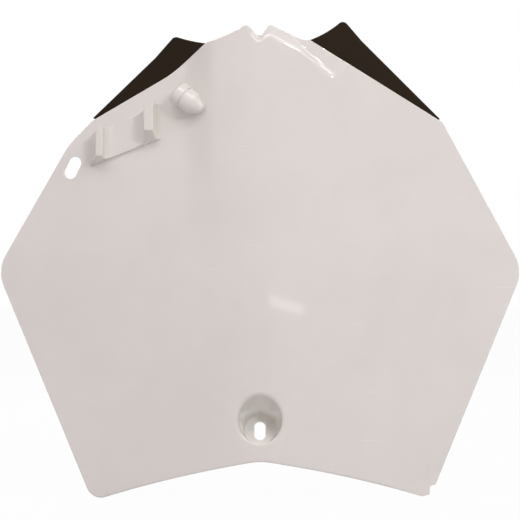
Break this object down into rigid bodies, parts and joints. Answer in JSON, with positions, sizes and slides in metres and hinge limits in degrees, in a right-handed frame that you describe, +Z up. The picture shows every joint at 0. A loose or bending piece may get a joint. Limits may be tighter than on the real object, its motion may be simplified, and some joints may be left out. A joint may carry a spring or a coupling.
{
  "type": "racing number board",
  "caption": "Front number board for an off-road motorcycle: swept-back panel with a notched top, black upper corners, a slotted screw cup below and a hose saddle beside a strap peg.",
  "frame": {"origin": "middle of the lower fixing slot, on the flat rear seat of the screw cup", "axes": "-Y is the way the board's front faces, +X is to the right as seen from the front, +Z is up along the board's ridge"},
  "size_m": [0.3005, 0.0317, 0.2732],
  "materials": {
    "white_panel": "glossy, faintly warm white",
    "black_corner": "matt, warm black"
  },
  "bodies": {
    "root": {"number_board": "white_panel", "left_wing": "black_corner", "right_wing": "black_corner"}
  },
  "joints": []
}
